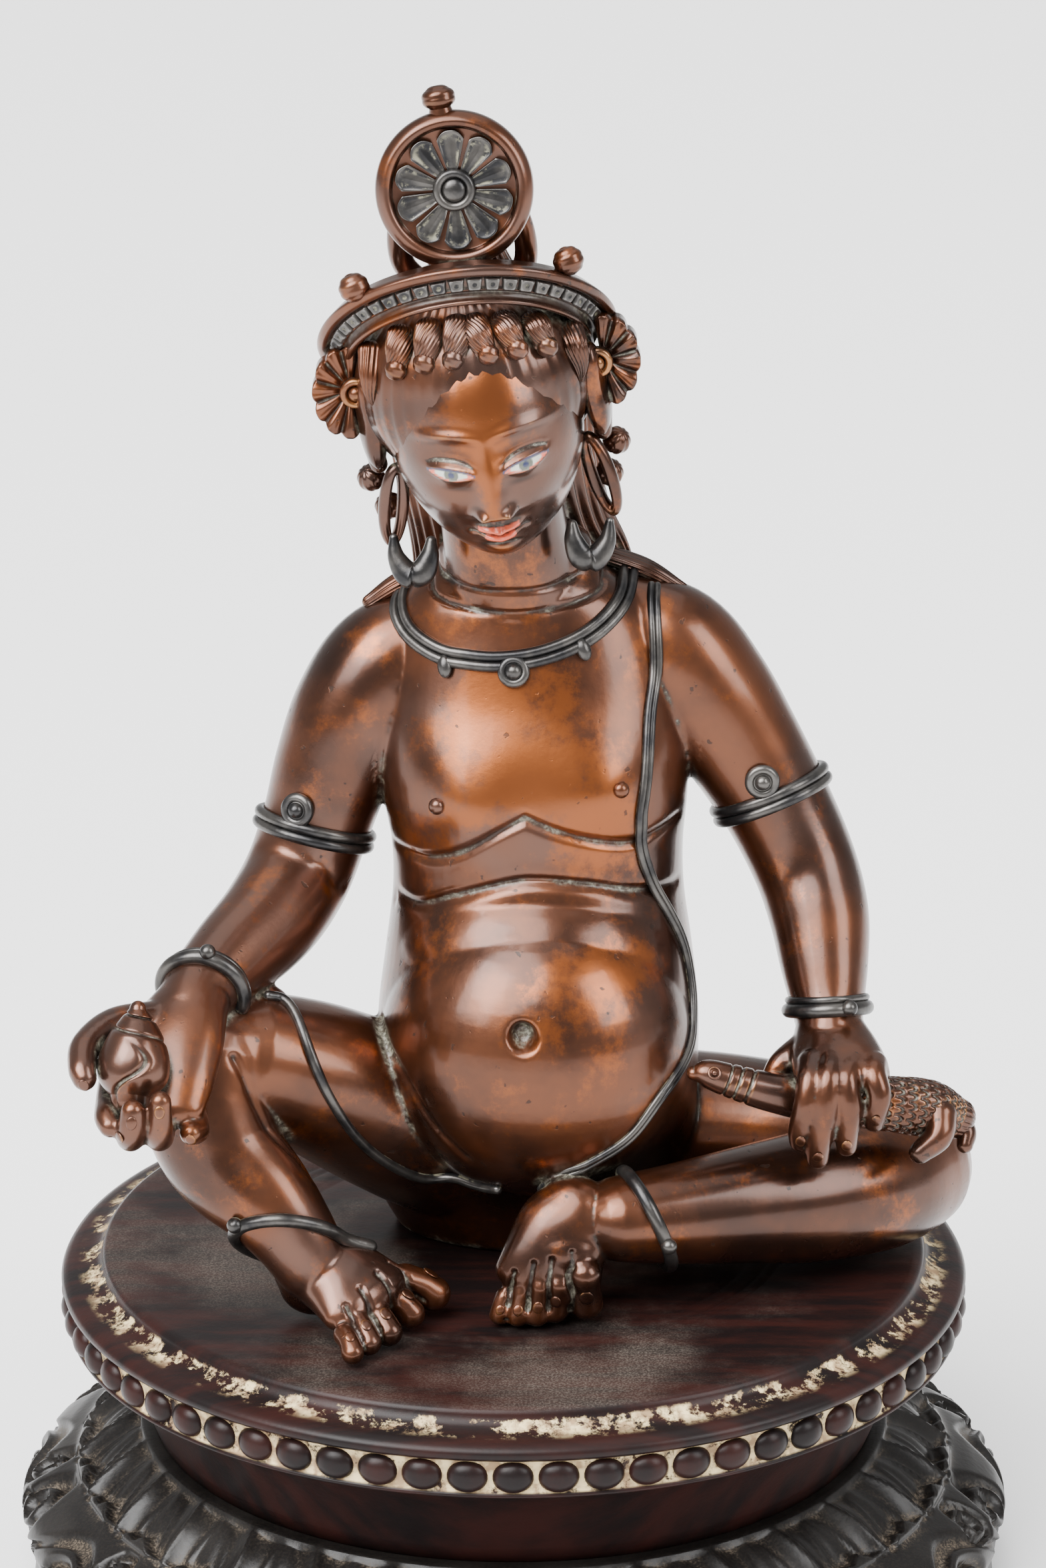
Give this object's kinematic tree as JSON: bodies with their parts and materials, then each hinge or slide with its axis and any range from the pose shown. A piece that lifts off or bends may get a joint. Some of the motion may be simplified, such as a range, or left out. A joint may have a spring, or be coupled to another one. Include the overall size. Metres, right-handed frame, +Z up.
{
  "type": "bronze kubera figure",
  "caption": "Seated pot-bellied deity in bronze with tiara and crown disc, a shell in one hand and a mongoose under the other, on a beaded and carved round wooden stand.",
  "frame": {"origin": "the middle of the stand's underside", "axes": "+Z up, the figure faces -Y, and its own right hand is at -X"},
  "size_m": [0.175, 0.175, 0.2655],
  "materials": {
    "bronze": "polished red-brown copper bronze with worn high places",
    "silver": "tarnished silver",
    "red_wood": "dark red-brown, waxed and dusty",
    "black_wood": "near black, polished on the high places"
  },
  "bodies": {
    "root": {"figure": "bronze", "necklace": "silver", "sacred_thread": "silver", "garment_hem": "silver", "armlet_right": "silver", "armlet_left": "silver", "bracelet_right": "silver", "bracelet_left": "silver", "anklet_right": "silver", "anklet_left": "silver", "disc_flower": "silver", "stand_top": "red_wood", "stand_base": "black_wood"}
  },
  "joints": []
}
